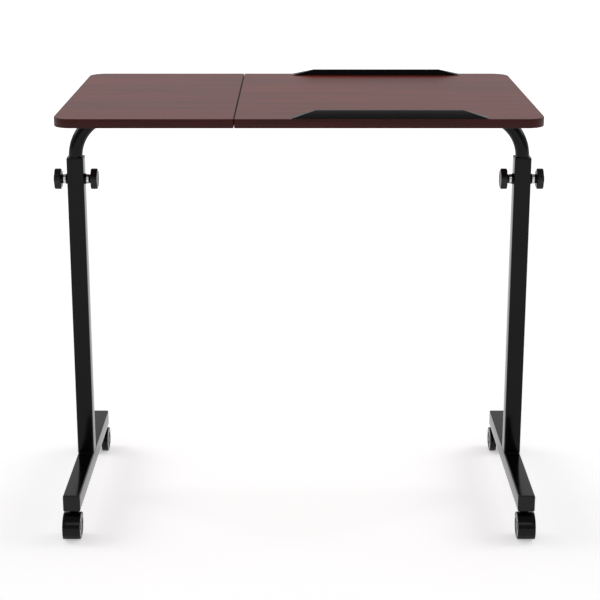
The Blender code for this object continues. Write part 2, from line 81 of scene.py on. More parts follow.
def quads_between(rings, points_round, along_closed):
    """Face corners of the grid whose ring i is joined to ring i + 1, each ring closed on itself."""
    starts = np.arange(rings if along_closed else rings - 1)
    i, j = np.meshgrid(starts, np.arange(points_round), indexing="ij")
    after_i, after_j = (i + 1) % rings, (j + 1) % points_round
    corners = (
        i * points_round + j,
        i * points_round + after_j,
        after_i * points_round + after_j,
        after_i * points_round + j,
    )
    return np.stack(corners, axis=-1).reshape(-1, 4).tolist()


def skin(name, rings, material, body, hollow=False, **more):
    """A closed body through rings.

    A hollow one returns to its first ring. Others have a flat face at each end.
    """
    rings = np.asarray(rings, float)
    count, round_count = rings.shape[:2]
    faces = quads_between(count, round_count, hollow)
    if not hollow:
        faces.append(list(range(round_count)))
        faces.append(list(range((count - 1) * round_count, count * round_count)))
    return make_piece(name, rings.reshape(-1, 3), faces, material, body, **more)


def bevel(piece, width, angle=30):
    """Rounds the edges where two faces turn by more than the angle, in degrees."""
    modifier = piece.modifiers.new("rounded_edges", "BEVEL")
    modifier.width = width
    modifier.segments = 2
    modifier.limit_method = "ANGLE"
    modifier.angle_limit = math.radians(angle)
    modifier.harden_normals = True


def arc(centre, radius, start, end, steps):
    """Points along a circle's arc: centre + radius (cos a, sin a).

    The angle a goes evenly from start to end, in degrees.
    """
    a = np.radians(np.linspace(start, end, steps + 1))
    return np.stack([centre[0] + radius * np.cos(a), centre[1] + radius * np.sin(a)], axis=1)


def fillet(corners, radius, steps):
    """A path with each inner corner rounded off, and its two ends left where they are.

    Each curve is the quadratic one that aims at the corner. It starts and ends a radius away from it,
    or half the shorter side if that is less.
    """
    corners = np.asarray(corners, float)
    before, after = np.roll(corners, 1, axis=0), np.roll(corners, -1, axis=0)
    to_before, to_after = before - corners, after - corners
    long_before, long_after = (
        np.linalg.norm(v, axis=1, keepdims=True) for v in (to_before, to_after)
    )
    just_under_half = 0.49
    cut = np.minimum(radius, just_under_half * np.minimum(long_before, long_after))
    start = corners + to_before / long_before * cut
    end = corners + to_after / long_after * cut
    t = np.linspace(0, 1, steps + 1)[None, :, None]
    aim = 2 * t * (1 - t) * corners[:, None]
    curves = (1 - t) ** 2 * start[:, None] + aim + t**2 * end[:, None]
    curves[0], curves[-1] = corners[0], corners[-1]
    return curves.reshape(-1, 2)


def rounded_box_outline(half_u, half_v, radius, steps=6):
    """A rectangle with quarter-circle corners, anticlockwise."""
    u, v = half_u - radius, half_v - radius
    corners = [((u, v), 0), ((-u, v), 90), ((-u, -v), 180), ((u, -v), 270)]
    return np.concatenate([arc(c, radius, start, start + 90, steps) for c, start in corners])


def set_in(outline, axis, at, centre=(0, 0, 0)):
    """Stands a flat outline across an axis, at a distance along it.

    The other two axes follow in X, Y, Z order.
    """
    ring = np.empty((len(outline), 3))
    others = [i for i in range(3) if i != axis]
    ring[:, axis] = at
    ring[:, others] = outline
    return ring + np.asarray(centre)


def turned(name, profile, axis, centre, material, body, facing=1, sides=64, **more):
    """A body of revolution: the profile's (distance along the axis, radius) points, carried round it."""
    profile = np.asarray(profile, float)
    unit = arc((0, 0), 1.0, 0, 360, sides)[:-1]
    rings = [set_in(unit * radius, axis, facing * along, centre) for along, radius in profile]
    return skin(name, rings, material, body, **more)


def extruded(name, outline, axis, low, high, centre, material, body, **more):
    """An outline carried straight from low to high along an axis."""
    rings = [set_in(outline, axis, at, centre) for at in (low, high)]
    return skin(name, rings, material, body, **more)


# ---------------------------------------------------------------- materials

def linear(code):
    """An sRGB hex colour as linear red, green, blue, alpha."""
    channels = np.array([int(code[i : i + 2], 16) for i in (1, 3, 5)]) / 255
    low, high = channels / 12.92, ((channels + 0.055) / 1.055) ** 2.4
    return (*np.where(channels <= 0.04045, low, high), 1.0)


def add_node(tree, kind, inputs=None, **settings):
    """Adds a node with its settings. An input takes a value, or a link if it is given a socket."""
    made = tree.nodes.new(kind)
    for name, value in settings.items():
        setattr(made, name, value)
    for socket, value in (inputs or {}).items():
        if isinstance(value, bpy.types.NodeSocket):
            tree.links.new(value, made.inputs[socket])
        else:
            made.inputs[socket].default_value = value
    return made


def new_material(name):
    """An empty material with its shader and its object coordinates."""
    material = bpy.data.materials.new(name)
    material.use_nodes = True
    tree = material.node_tree
    shader = tree.nodes["Principled BSDF"]
    where = add_node(tree, "ShaderNodeTexCoord").outputs["Object"]
    return material, tree, shader, where


def ramp(tree, factor, stops):
    """A colour ramp through (position, hex colour) stops."""
    made = add_node(tree, "ShaderNodeValToRGB", {"Fac": factor})
    elements = made.color_ramp.elements
    while len(elements) < len(stops):
        elements.new(0.5)
    for element, (position, code) in zip(elements, stops):
        element.position = position
        element.color = linear(code)
    return made.outputs["Color"]


def spread(tree, value, low, high):
    """Maps 0 to 1 onto low to high."""
    made = add_node(tree, "ShaderNodeMapRange", {"Value": value, "To Min": low, "To Max": high})
    return made.outputs["Result"]


def stretched(tree, where, scale):
    """Coordinates with each axis multiplied by its own factor."""
    return add_node(tree, "ShaderNodeMapping", {"Vector": where, "Scale": scale}).outputs[0]


def noise(tree, where, scale, detail, **more):
    """The grey value of a noise texture."""
    inputs = {"Vector": where, "Scale": scale, "Detail": detail, **more}
    return add_node(tree, "ShaderNodeTexNoise", inputs).outputs["Fac"]


def bump(tree, shader, height, strength, distance):
    """Tilts the shader's normals as a relief does whose full height is the distance, in metres."""
    inputs = {"Height": height, "Strength": strength, "Distance": distance}
    made = add_node(tree, "ShaderNodeBump", inputs)
    tree.links.new(made.outputs["Normal"], shader.inputs["Normal"])


def melamine(name, shift, edge=False):
    """Mahogany print under a clear melamine film, pressed on particle board: satin, fine pores.

    The print's grain runs along X, its figure about 25 mm wide and 300 mm long, its fibres about
    1.5 mm wide. The edge band is thick foil of the same print and more matt. Its print is drawn
    darker as painted shade, for the board's dimly lit edges.
    """
    material, tree, shader, where = new_material(name)
    placed = add_node(tree, "ShaderNodeMapping", {"Vector": where, "Location": shift}).outputs[0]
    figure = noise(tree, stretched(tree, placed, (3.2, 40, 40)), 1.0, 5.0, Distortion=0.6)
    fibre = noise(tree, stretched(tree, placed, (9, 620, 620)), 1.0, 3.0, Roughness=0.6)
    pore = noise(tree, stretched(tree, placed, (60, 1500, 1500)), 1.0, 2.0)
    if edge:
        # the edge band's darker stops are painted shade for the dimly lit edges, not a darker foil
        stops = [(0.30, "#300b07"), (0.52, "#3a0e09"), (0.75, "#41110b")]
    else:
        stops = [(0.30, "#64190f"), (0.50, "#741f12"), (0.72, "#822717")]
    print_colour = ramp(tree, figure, stops)
    fibre_colour = ramp(tree, fibre, [(0.35, "#dcd8d5"), (0.60, "#ffffff")])
    mixed = add_node(
        tree, "ShaderNodeVectorMath", {0: print_colour, 1: fibre_colour}, operation="MULTIPLY"
    )
    tree.links.new(mixed.outputs["Vector"], shader.inputs["Base Color"])
    rough_low, rough_high = (0.40, 0.50) if edge else (0.37, 0.46)
    tree.links.new(spread(tree, fibre, rough_low, rough_high), shader.inputs["Roughness"])
    bump(tree, shader, pore, 0.10, 0.06 * MM)
    shader.inputs["Specular IOR Level"].default_value = 0.20 if edge else 0.30
    return material


def powder_coat():
    """Black polyester powder coat, baked on steel tube: semi-gloss, a faint orange peel of 2 mm."""
    material, tree, shader, where = new_material("black_powder_coat")
    peel = noise(tree, where, 480.0, 2.0, Roughness=0.45)
    dust = noise(tree, where, 14.0, 4.0, Roughness=0.6)
    tree.links.new(ramp(tree, dust, [(0.35, "#050505"), (0.70, "#080808")]), shader.inputs["Base Color"])
    tree.links.new(spread(tree, dust, 0.10, 0.19), shader.inputs["Roughness"])
    bump(tree, shader, peel, 0.22, 0.05 * MM)
    shader.inputs["Specular IOR Level"].default_value = 0.155
    return material


def moulded_plastic(name, low_colour, high_colour, roughness, level, grain_strength):
    """Black thermoplastic, injection moulded: the tool leaves an even, fine grain of 0.4 mm.

    Polypropylene from a lightly sparked tool looks satin. ABS and nylon come from smoother tools, so
    their grain is fainter and they shine more.
    """
    material, tree, shader, where = new_material(name)
    grain = noise(tree, where, 2400.0, 2.0)
    wear = noise(tree, where, 60.0, 5.0, Roughness=0.65)
    colour = ramp(tree, wear, [(0.35, low_colour), (0.70, high_colour)])
    tree.links.new(colour, shader.inputs["Base Color"])
    tree.links.new(spread(tree, wear, roughness - 0.05, roughness + 0.07), shader.inputs["Roughness"])
    bump(tree, shader, grain, grain_strength, 0.04 * MM)
    shader.inputs["Specular IOR Level"].default_value = level
    return material


def zinc_plate():
    """Turned mild steel, bright zinc plated: a slightly cloudy mirror, fine lathe lines round it."""
    material, tree, shader, where = new_material("bright_zinc_plate")
    cloud = noise(tree, where, 220.0, 3.0)
    lines = noise(tree, stretched(tree, where, (5200, 300, 300)), 1.0, 1.0)
    colour = ramp(tree, cloud, [(0.30, "#b9bcc0"), (0.75, "#dcdee0")])
    tree.links.new(colour, shader.inputs["Base Color"])
    tree.links.new(spread(tree, cloud, 0.16, 0.30), shader.inputs["Roughness"])
    bump(tree, shader, lines, 0.15, 0.03 * MM)
    shader.inputs["Metallic"].default_value = 1.0
    return material


LAMINATE_FIXED = melamine("mahogany_melamine_fixed", (0.31, 0.12, 0.0))
LAMINATE_TILTING = melamine("mahogany_melamine_tilting", (1.70, 0.55, 0.2))
EDGE_BAND = melamine("mahogany_edge_band_painted_shade", (0.9, 0.3, 0.4), edge=True)
COATED_STEEL = powder_coat()
PLASTIC = moulded_plastic("black_polypropylene", "#0e0e0f", "#131314", 0.30, 0.26, 0.20)
LEDGE_PLASTIC = moulded_plastic("black_abs", "#171718", "#1b1b1c", 0.20, 0.05, 0.10)
GLOSS_NYLON = moulded_plastic("black_nylon", "#070707", "#0b0b0b", 0.17, 0.19, 0.06)
ZINC = zinc_plate()


# ---------------------------------------------------------------- sizes read from the frame

def middle(node):
    """The middle of a node's box."""
    low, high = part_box(node)
    return np.array([(low[i] + high[i]) / 2 for i in range(3)])


def extent(node):
    """The size of a node's box along X, Y and Z."""
    low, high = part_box(node)
    return np.array([high[i] - low[i] for i in range(3)])


TUBE_RADIUS = extent("u_tube")[1] / 2
TUBE_AXIS_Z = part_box("u_tube")[1][2] - TUBE_RADIUS
LEG_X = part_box("left_post")[1][0] - extent("left_post")[0] / 2
SECTION = extent("left_post")[0]
SECTION_WALL = 1.5 * MM
SECTION_CORNER = 2.5 * MM
GAP = 0.3 * MM
BAND = 1.0 * MM  # thickness of the edge band
BAND_ROUND = 0.8 * MM
CORNER_RADIUS = 30 * MM
SEAM_CORNER_RADIUS = 2 * MM
LEDGE_CREST = 3 * MM
LEDGE_END_SLOPE = 40 * MM
MOULDED_EDGE = 0.35 * MM  # rounding of a moulded or sheared edge
BEND_RADIUS = 77 * MM
LOBES = 5
LOBE_RADIUS = 9.5 * MM
LOBE_CENTRE = 9.5 * MM
LOBE_LIFT = 12  # degrees that the front lobe points above the level
THREAD_PITCH = 1.25 * MM
THREAD_DEPTH = 0.6 * MM
SCREW_RADIUS = 4 * MM


# ---------------------------------------------------------------- tabletop

def board_outline(node, rounded_side, inset):
    """The board's edge seen from above, with large corners on one side and small ones at the seam."""
    low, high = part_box(node)
    steps = 16
    corners = []
    for x_side, y_side, start in ((1, 1, 0), (-1, 1, 90), (-1, -1, 180), (1, -1, 270)):
        radius = CORNER_RADIUS if x_side == rounded_side else SEAM_CORNER_RADIUS
        x = (high[0] - radius) if x_side > 0 else (low[0] + radius)
        y = (high[1] - radius) if y_side > 0 else (low[1] + radius)
        corners.append(arc((x, y), radius - inset, start, start + 90, steps))
    return np.concatenate(corners)


def board(node, rounded_side, laminate, body):
    """A slab with printed faces, and round it an edge band with rounded arrises.

    The band's outer wall is the board's outline. Towards each face it rises by r sin a and is pulled
    in by r (1 - cos a).
    """
    low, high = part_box(node)
    bottom, top = low[2], high[2]
    core_inset = BAND + 0.05 * MM
    face_round = 0.15 * MM
    levels = [
        (bottom, face_round),
        (bottom + face_round, 0),
        (top - face_round, 0),
        (top, face_round),
    ]
    rings = [
        set_in(board_outline(node, rounded_side, core_inset + inset), 2, z) for z, inset in levels
    ]
    skin(node + "_panel", rings, laminate, body, replaced=(node,), slot="mahogany_board")

    turn = np.radians(np.linspace(0, 90, 6))
    rise, pull = BAND_ROUND * np.sin(turn), BAND_ROUND * (1 - np.cos(turn))
    # up the outside, from the underside to the top
    outside = [(bottom + BAND_ROUND - r, p) for r, p in zip(rise[::-1], pull[::-1])]
    outside += [(top - BAND_ROUND + r, p) for r, p in zip(rise, pull)]
    drop = 0.02 * MM  # the band stands this far under the laminate's face where they meet
    outside = [(np.clip(z, bottom + drop, top - drop), min(p, BAND)) for z, p in outside]
    inside = [(top - drop, BAND), (bottom + drop, BAND)]
    rings = [
        set_in(board_outline(node, rounded_side, inset), 2, z) for z, inset in outside + inside
    ]
    skin(node + "_edge_band", rings, EDGE_BAND, body, hollow=True, slot="mahogany_board")


def ledge(node, side):
    """A wedge: its base is a rectangle and its crest a narrow strip over the inner edge."""
    low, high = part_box(node)
    inner, outer = (low[1], high[1]) if side > 0 else (high[1], low[1])
    crest = inner + side * LEDGE_CREST
    crest_low, crest_high = low[0] + LEDGE_END_SLOPE, high[0] - LEDGE_END_SLOPE
    base = [(low[0], inner), (high[0], inner), (high[0], outer), (low[0], outer)]
    strip = [(crest_low, inner), (crest_high, inner), (crest_high, crest), (crest_low, crest)]
    rings = [set_in(np.array(base), 2, low[2]), set_in(np.array(strip), 2, high[2])]
    name = node + "_moulding"
    piece = skin(name, rings, LEDGE_PLASTIC, "tilt_top", replaced=(node,), slot="black_plastic")
    bevel(piece, MOULDED_EDGE)


# ---------------------------------------------------------------- frame

def u_tube():
    """A round tube along a path of two straight legs, two quarter bends and a straight crossing.

    Where the tube has leaned by a, the path is at the bend's centre + R (-cos a, sin a). Each ring is
    the tube's circle stood across the path there. The outer skin runs one way and the bore back.
    """
    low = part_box("u_tube")[0]
    half = -low[0] - TUBE_RADIUS
    steps = 32
    lean = np.radians(np.linspace(0, 90, steps + 1))
    bend_x = -half + BEND_RADIUS * (1 - np.cos(lean))
    bend_z = TUBE_AXIS_Z - BEND_RADIUS * (1 - np.sin(lean))
    left = np.stack([bend_x, bend_z, lean], 1)
    foot_point = np.array([[-half, low[2], 0.0]])
    right = np.stack([-left[::-1, 0], left[::-1, 1], math.pi - left[::-1, 2]], 1)
    end_point = np.array([[half, low[2], math.pi]])
    path = np.concatenate([foot_point, left, right, end_point])
    circle = arc((0, 0), 1.0, 0, 360, 64)[:-1]
    skins = []
    for radius, stations in ((TUBE_RADIUS, path), (TUBE_RADIUS - SECTION_WALL, path[::-1])):
        u, v = radius * circle[:, 0], radius * circle[:, 1]
        x = stations[:, :1] + u * np.cos(stations[:, 2:])
        z = stations[:, 1:2] - u * np.sin(stations[:, 2:])
        skins.append(np.stack([x, np.broadcast_to(v, x.shape), z], axis=-1))
    rings = np.concatenate(skins)
    skin(
        "u_tube_coated", rings, COATED_STEEL, "upper_frame", hollow=True, replaced=("u_tube",),
        slot="frame_steel",
    )


def square_tube(name, node, axis, body):
    """A welded square tube: its outline carried along the axis outside, and back along the bore."""
    low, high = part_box(node)
    centre = middle(node)
    centre[axis] = 0
    half = SECTION / 2
    deburred = 0.2 * MM
    outer = rounded_box_outline(half, half, SECTION_CORNER, 8)
    eased = rounded_box_outline(half - deburred, half - deburred, SECTION_CORNER, 8)
    inner_half = half - SECTION_WALL
    inner = rounded_box_outline(inner_half, inner_half, SECTION_CORNER - SECTION_WALL, 8)
    start, end = low[axis], high[axis]
    stations = [
        (eased, start),
        (outer, start + deburred),
        (outer, end - deburred),
        (eased, end),
        (inner, end),
        (inner, start),
    ]
    rings = [set_in(outline, axis, at, centre) for outline, at in stations]
    skin(name, rings, COATED_STEEL, body, hollow=True, replaced=(node,), slot="frame_steel")


def end_cap(name, node, side, body):
    """A square cap with a crowned face: each ring is the outline drawn in as the face rises."""
    low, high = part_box(node)
    centre = middle(node)
    centre[1] = high[1] if side > 0 else low[1]
    half = SECTION / 2
    plate, plug = 2.7 * MM, 4.7 * MM
    levels = [(-plug, 1.8 * MM), (-plate, 1.8 * MM), (-plate, 0.0), (-1.2 * MM, 0.0)]
    levels += [(-0.75 * MM, 0.12 * MM), (-0.40 * MM, 0.45 * MM), (-0.18 * MM, 1.0 * MM)]
    levels += [(-0.05 * MM, 2.4 * MM), (0.0, 5.0 * MM)]
    rings = []
    for out, inset in levels:
        reach = half - inset
        corner = max(SECTION_CORNER - inset, 0.8 * MM)
        rings.append(set_in(rounded_box_outline(reach, reach, corner, 8), 1, side * out, centre))
    skin(name, rings, PLASTIC, body, replaced=(node,), slot="black_plastic")


def bush(name, node, body):
    """A square plastic sleeve with a round bore.

    Its outline is a squircle, whose radius at angle a is h / (|cos a|^p + |sin a|^p)^(1/p). At p 14 it
    has the post's rounded corners.
    """
    low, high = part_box(node)
    centre = middle(node)
    centre[2] = high[2]
    a = np.radians(np.linspace(0, 360, 97)[:-1])
    unit = np.stack([np.cos(a), np.sin(a)], 1)
    squircle = unit / ((np.abs(unit) ** 14).sum(1, keepdims=True) ** (1 / 14))
    bore = TUBE_RADIUS + 0.15 * MM
    half, plug = SECTION / 2, SECTION / 2 - SECTION_WALL - GAP
    depth, flange = high[2] - low[2], 1.8 * MM
    soft = 0.5 * MM
    levels = [
        (squircle * plug, -depth),
        (squircle * plug, -flange),
        (squircle * half, -flange),
        (squircle * half, -soft),
        (squircle * (half - 0.15 * MM), -0.15 * MM),
        (squircle * (half - soft), 0),
        (unit * (bore + 0.4 * MM), 0),
        (unit * bore, -0.4 * MM),
        (unit * bore, -depth),
    ]
    rings = [set_in(outline, 2, at, centre) for outline, at in levels]
    skin(name, rings, PLASTIC, body, hollow=True, replaced=(node,), slot="black_plastic")


def weld_bead(name, start, end, radius, body):
    """A bead laid in steps: a tube from start to end whose radius swells by a tenth at each ripple."""
    start, end = np.array(start), np.array(end)
    t = np.linspace(0, 1, 41)
    ends = np.clip(np.minimum(t, 1 - t) / 0.05, 0.15, 1) ** 0.5
    size = radius * ends * (1 + 0.10 * np.cos(2 * math.pi * 9 * t))
    circle = arc((0, 0), 1.0, 0, 360, 16)[:-1]
    rings = np.stack([set_in(circle * r, 0, 0, start + (end - start) * s) for r, s in zip(size, t)])
    skin(name, rings, COATED_STEEL, body, sharp=60, slot="frame_steel")


def weld_ring(name, centre, ring_radius, radius, facing, body):
    """A bead round a boss: a torus about X whose own radius swells at each ripple."""
    a = np.radians(np.linspace(0, 360, 97)[:-1])[:, None]
    b = np.radians(np.linspace(0, 360, 13)[:-1])[None, :]
    size = radius * (1 + 0.10 * np.cos(14 * a))
    reach = ring_radius + size * np.cos(b)
    x = centre[0] + facing * size * np.sin(b)
    y = centre[1] + reach * np.cos(a)
    z = centre[2] + reach * np.sin(a)
    rings = np.stack([x, y, z], axis=-1)
    skin(name, rings, COATED_STEEL, body, hollow=True, sharp=60, slot="frame_steel")


# ---------------------------------------------------------------- knobs

def lobe_outline(points_per_lobe=28):
    """A star of round lobes.

    At an angle s off a lobe's middle, the radius is d cos s + sqrt(r^2 - (d sin s)^2): a circle of
    radius r whose centre is d from the axis.
    """
    i = np.arange(LOBES * points_per_lobe)
    swing = ((i / points_per_lobe) % 1 - 0.5) * 2 * math.pi / LOBES
    reach = LOBE_CENTRE * np.cos(swing) + np.sqrt(LOBE_RADIUS**2 - (LOBE_CENTRE * np.sin(swing)) ** 2)
    a = math.pi - math.radians(LOBE_LIFT) + (i / points_per_lobe - 0.5) * 2 * math.pi / LOBES
    # the crease between two lobes is eased, as a mould's is
    reach = np.maximum(reach, np.roll(reach, 3) * 0.5 + np.roll(reach, -3) * 0.5)
    return np.stack([reach * np.cos(a), reach * np.sin(a)], 1)


def star_grip(name, node, facing, body):
    """Star grip: the lobe outline, drawn in by a quarter circle at both faces, over a round hub."""
    low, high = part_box(node)
    centre = middle(node)
    outer = high[0] if facing > 0 else low[0]
    centre[0] = outer
    centre[1] = 0.0
    centre[2] = KNOB_Z
    star = lobe_outline()
    unit = star / np.linalg.norm(star, axis=1, keepdims=True)
    full = LOBE_CENTRE + LOBE_RADIUS
    grip, hub, bore = 12 * MM, 3.4 * MM, 4.3 * MM
    edge = 2.0 * MM
    turn = np.radians(np.linspace(0, 90, 6))

    def drawn_in(inset):
        """The star made smaller, so that its lobes' tips come in by the inset."""
        return star * (1 - inset / full)

    levels = [(-8.0 * MM, unit * bore), (-grip - hub, unit * bore), (-grip - hub, unit * 7.4 * MM)]
    levels += [(-grip - hub + 0.5 * MM, unit * 7.9 * MM), (-grip - 0.3 * MM, unit * 9.0 * MM)]
    levels += [(-grip, unit * 9.4 * MM)]
    levels += [(-grip + edge * (1 - math.cos(a)), drawn_in(edge * (1 - math.sin(a)))) for a in turn]
    levels += [(-edge + edge * math.sin(a), drawn_in(edge * (1 - math.cos(a)))) for a in turn]
    # a shallow round dish in the outer face, where the screw's head is moulded in
    dish = [(0.0, 8.2), (-0.08, 7.9), (-0.3, 7.6), (-0.4, 7.2), (-0.4, 3.2), (-0.3, 2.9), (-0.2, 2.0)]
    levels += [(along * MM, unit * radius * MM) for along, radius in dish]
    rings = [set_in(outline, 0, facing * along, centre) for along, outline in levels]
    skin(name, rings, PLASTIC, body, replaced=(node,), sharp=50, slot="black_plastic")


def knob_screw(name, node, facing, body):
    """Screw and collar.

    Over the thread the radius at angle a and distance t is R - depth (1 + cos(2 pi t / pitch - a)) / 2,
    a rounded right-hand helix.
    """
    face = middle(node)
    face[0] = KNOB_FACES[node]
    tip, collar_start = -2.2 * MM, 3.3 * MM
    sides = 48
    a = np.radians(np.linspace(0, 360, sides + 1)[:-1])
    t = np.linspace(tip, collar_start, 45)[:, None]
    wave = np.cos(2 * math.pi * t / THREAD_PITCH - facing * a)
    thread = SCREW_RADIUS - THREAD_DEPTH * (1 + wave) / 2
    x = np.broadcast_to(facing * t, thread.shape)
    rings = np.stack([x, thread * np.cos(a), thread * np.sin(a)], -1) + face
    profile = np.array([
        (3.3, 8.2), (3.4, 8.6), (3.7, 9.0), (7.4, 9.0), (7.7, 8.7), (7.8, 8.3), (7.8, 4.0), (18.3, 4.0),
    ]) * MM
    unit = np.stack([np.cos(a), np.sin(a)], 1)
    body_rings = np.stack([set_in(unit * r, 0, facing * at, face) for at, r in profile])
    skin(name, np.concatenate([rings, body_rings]), ZINC, body, replaced=(node,), slot="zinc_plate")


def knob_boss(name, node, facing, body):
    """The threaded boss behind a knob: turned, then welded to the post by a bead round its foot."""
    face = middle(node)
    face[0] = KNOB_FACES[node]
    profile = np.array([
        (0.3, 4.3), (0.3, 9.5), (2.4, 9.5), (2.8, 9.3), (3.0, 8.9), (3.0, 4.5), (2.8, 4.3),
    ]) * MM
    turned(
        name, profile, 0, face, COATED_STEEL, body, facing, hollow=True, replaced=(node,),
        slot="frame_steel",
    )
    weld_centre = face + np.array([facing * 0.2 * MM, 0, 0])
    weld_ring(name + "_weld", weld_centre, 9.7 * MM, 0.8 * MM, facing, body)


KNOB_Z = middle("left_outer_knob_boss")[2]
KNOB_FACES = {}
for hand, side in HANDS:
    for where, facing in (("outer", side), ("inner", -side)):
        face_x = side * abs(LEG_X) + facing * SECTION / 2
        for part in ("boss", "screw", "grip"):
            KNOB_FACES[f"{hand}_{where}_knob_{part}"] = face_x


# ---------------------------------------------------------------- casters

def wheel(name, node, facing, body):
    """Nylon wheel, turned: rounded tread, dished face with a raised ring and a hub cap."""
    low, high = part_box(node)
    inner_x = low[0] if facing > 0 else high[0]
    centre = middle(node)
    centre[0] = inner_x
    radius = (high[2] - low[2]) / 2 / MM
    # how far under the tread each point is, and how far along the axis
    tread = [(-2.4, 0.0), (-0.8, 0.15), (-0.3, 0.5), (0.0, 1.1), (0.0, 10.9), (-0.25, 11.6)]
    tread += [(-0.8, 12.2), (-1.5, 12.55), (-2.3, 12.7), (-7.2, 12.7), (-7.6, 12.5), (-8.0, 11.9)]
    tread += [(-8.4, 11.7)]
    hub = [(11.7, 8.4), (11.8, 8.0), (12.3, 7.6), (12.5, 7.1), (12.6, 6.2), (12.6, 1.0)]
    profile = [(11.0, 2.3), (0.0, 2.3)] + [(along, radius + drop) for drop, along in tread] + hub
    profile = np.array(profile) * MM
    turned(
        name, profile, 0, centre, GLOSS_NYLON, body, facing, 72, replaced=(node,),
        slot="wheel_plastic",
    )


def hood(name, node, body, axle, stem_y, wheel_radius):
    """Fender, web and stem barrel.

    The fender's section is an arch as wide as both wheels: crowned by c (1 - (x / w)^4) outside, flat
    inside. It is carried round the axle, from low on the side away from the stem, over the top.
    """
    low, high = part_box(node)
    half = (high[0] - low[0]) / 2
    side = -1 if stem_y > axle[1] else 1
    inner, wall, crown = wheel_radius + 0.7 * MM, 1.2 * MM, 0.4 * MM
    across = np.linspace(-1, 1, 15)
    outside = np.stack([across * half, inner + wall + crown * (1 - across**4)], 1)
    inside = np.stack([across[::-1] * (half - 0.3 * MM), np.full(15, inner)], 1)
    section = np.concatenate([outside, inside])
    a = np.radians(np.linspace(-40, 160, 61))
    y = side * section[None, :, 1] * np.cos(a)[:, None]
    z = section[None, :, 1] * np.sin(a)[:, None]
    x = np.broadcast_to(section[None, :, 0], y.shape)
    rings = np.stack([x, y, z], -1) + axle
    fender = skin(name, rings, GLOSS_NYLON, body, replaced=(node,), slot="black_plastic")
    bevel(fender, MOULDED_EDGE, 40)

    rim = arc((0, 0), inner + 0.5 * MM, -38, 158, 40)
    hub = arc((0, 0), 6.5 * MM, 170, 310, 16)
    outline = np.concatenate([rim, hub]) * (side, 1)
    half_web = 2.1 * MM
    web = extruded(
        name + "_web", outline, 0, -half_web, half_web, axle, PLASTIC, body, slot="black_plastic"
    )
    bevel(web, 0.3 * MM)

    stem = np.array([axle[0], stem_y, high[2]])
    profile = np.array([
        (-16.5, 6.9), (-15.9, 7.5), (-1.6, 7.5), (-0.9, 7.3), (-0.4, 6.9), (0.0, 6.4), (0.0, 4.7),
        (-0.4, 4.3), (-12.0, 4.3),
    ]) * MM
    turned(name + "_barrel", profile, 2, stem, PLASTIC, body, sides=48, slot="black_plastic")


# ---------------------------------------------------------------- clamps under the boards

def wood_screw(name, centre, body):
    """Pan-head screw seen from below.

    The head's depth at radius r is a dome h (1 - (r/R)^4), less a cross whose depth falls off with
    the distance from its two bars.
    """
    radius, height, sides = 3.6 * MM, 2.0 * MM, 48
    r = np.array([0.4, 0.8, 1.2, 1.6, 2.0, 2.4, 2.8, 3.2, 3.5]) * MM
    a = np.radians(np.linspace(0, 360, sides + 1)[:-1])
    grid_r, grid_a = r[:, None], a[None, :]
    y, z = grid_r * np.cos(grid_a), grid_r * np.sin(grid_a)
    dome = height * (1 - (grid_r / (1.06 * radius)) ** 4)
    bar = np.minimum(np.abs(y), np.abs(z)) / (0.45 * MM)
    reach = np.clip((2.0 * MM - grid_r) / (0.4 * MM), 0, 1)
    depth = 1.1 * MM * np.clip(1.6 - bar, 0, 1) * reach
    head = np.stack([y, z, -(dome - depth)], -1)
    unit = np.stack([np.cos(a), np.sin(a), np.zeros(sides)], -1)
    rim = np.stack([unit * radius + (0, 0, -0.5 * MM), unit * radius])
    rings = np.concatenate([head, rim]) + np.array(centre)
    skin(name, rings, ZINC, body, sharp=50, slot="zinc_plate")


def saddle(name, node):
    """A bent strap: an outline of two flanges and a half round, widened to the strap's own width."""
    low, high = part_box(node)
    centre = middle(node)
    inner = TUBE_RADIUS + GAP
    wall = 2 * MM
    outer, top = inner + wall, high[2] - TUBE_AXIS_Z
    reach = (high[1] - low[1]) / 2
    bend_out, bend_in = 2.2 * MM, 0.5 * MM
    right_shoulder = arc((outer + bend_in, top - wall - bend_in), bend_in, 180, 90, 4)
    right_top = arc((inner + bend_out, top - bend_out), bend_out, 90, 180, 6)
    tip = [(reach, top - wall), (reach, top)]
    right = np.concatenate([right_shoulder, tip, right_top])
    under_inside = arc((0, 0), inner, 0, -180, 28)
    left = right[::-1] * (-1, 1)
    under_outside = arc((0, 0), outer, -180, 0, 28)
    outline = np.concatenate([right, under_inside, left, under_outside])
    at = np.array([centre[0], 0, TUBE_AXIS_Z])
    half = (high[0] - low[0]) / 2
    piece = extruded(name, outline, 0, -half, half, at, COATED_STEEL, "upper_frame", replaced=(node,),
                     slot="frame_steel")
    bevel(piece, MOULDED_EDGE, 50)
    for label, side in ENDS:
        place = (centre[0], side * (outer + reach) / 2, TUBE_AXIS_Z + top - wall)
        wood_screw(f"{name}_screw_{label}", place, "upper_frame")


